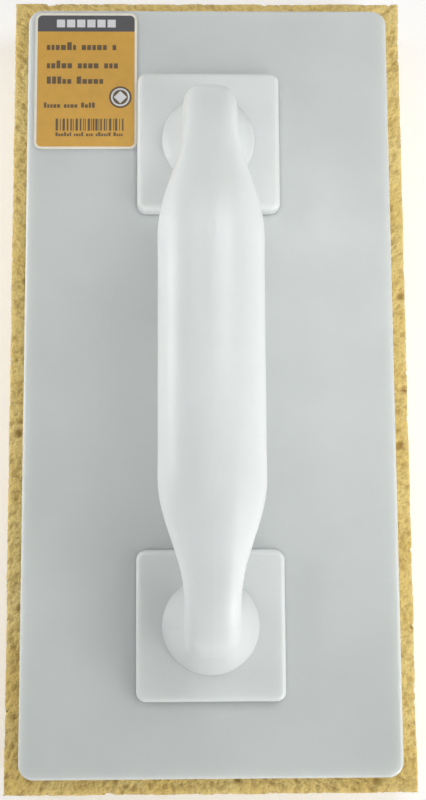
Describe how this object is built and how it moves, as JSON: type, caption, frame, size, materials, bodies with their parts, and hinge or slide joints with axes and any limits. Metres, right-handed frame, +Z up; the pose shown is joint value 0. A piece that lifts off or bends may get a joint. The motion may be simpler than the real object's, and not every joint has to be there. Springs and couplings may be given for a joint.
{
  "type": "sponge float",
  "caption": "Hand float for washing grouted tiles: foam sponge block glued to a plastic board with a hollow bow handle on square feet.",
  "frame": {"origin": "centre of the sponge's working face, on the surface the float rests on", "axes": "+Z up through the board to the grip, +Y along the board's length towards the end with the label, +X across the board"},
  "size_m": [0.14, 0.28, 0.1018],
  "materials": {
    "foam": "matte",
    "glue": "matte",
    "board_plastic": "satin",
    "handle_plastic": "satin",
    "screw_steel": "satin",
    "label": "satin"
  },
  "bodies": {
    "root": {"sponge_pad": "foam", "glue_film": "glue", "base_plate": "board_plastic", "handle_body": "handle_plastic", "grip_cover": "handle_plastic", "size_label": "label", "foot_screw_1": "screw_steel", "foot_screw_2": "screw_steel", "foot_screw_3": "screw_steel", "foot_screw_4": "screw_steel"}
  },
  "joints": []
}
